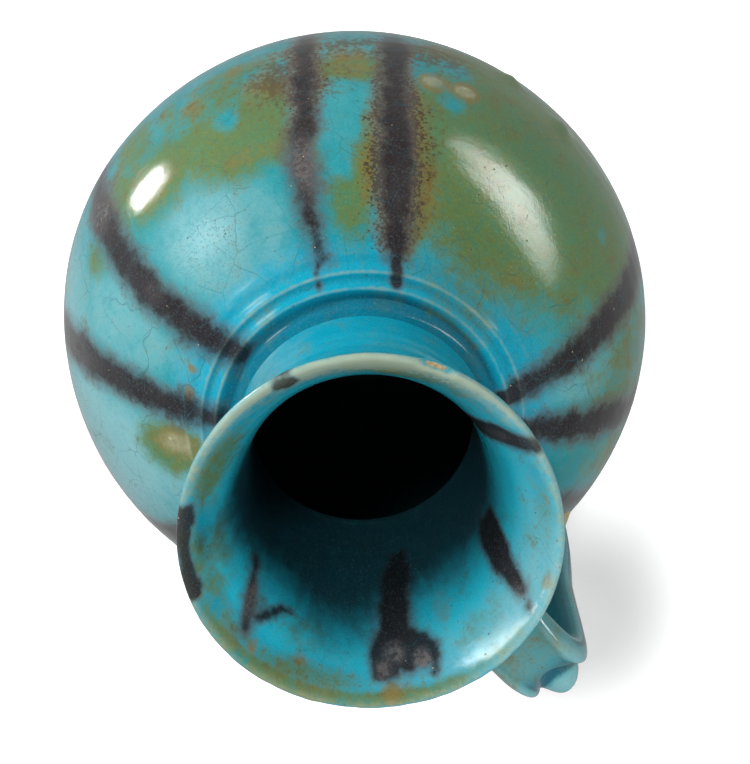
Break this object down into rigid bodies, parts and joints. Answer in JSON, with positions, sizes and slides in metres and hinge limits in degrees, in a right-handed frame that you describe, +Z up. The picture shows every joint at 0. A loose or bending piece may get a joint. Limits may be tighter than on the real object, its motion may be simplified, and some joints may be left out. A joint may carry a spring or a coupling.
{
  "type": "glazed pottery jug",
  "caption": "Globular jug of turquoise glazed stonepaste with dark stripes, a flaring neck, a ridged collar and a ribbed strap handle, standing on a low foot ring.",
  "frame": {"origin": "on the jug's axis, on the table plane under the foot ring", "axes": "+Z up along the axis to the mouth, +X towards the handle, +Y completing a right-handed frame"},
  "size_m": [0.1444, 0.144, 0.1929],
  "materials": {
    "glazed_stonepaste": "glossy crazed turquoise alkaline glaze over painted dark stripes, worn and stained",
    "bare_stonepaste": "bare buff fired stonepaste, matt"
  },
  "bodies": {
    "root": {"foot_ring": "bare_stonepaste", "foot_slip": "bare_stonepaste", "lower_body": "glazed_stonepaste", "belly_slip": "glazed_stonepaste", "upper_body": "glazed_stonepaste", "neck_slip": "glazed_stonepaste", "neck": "glazed_stonepaste", "handle_strap": "glazed_stonepaste", "handle_top_pad": "glazed_stonepaste", "handle_base_pad": "glazed_stonepaste"}
  },
  "joints": []
}
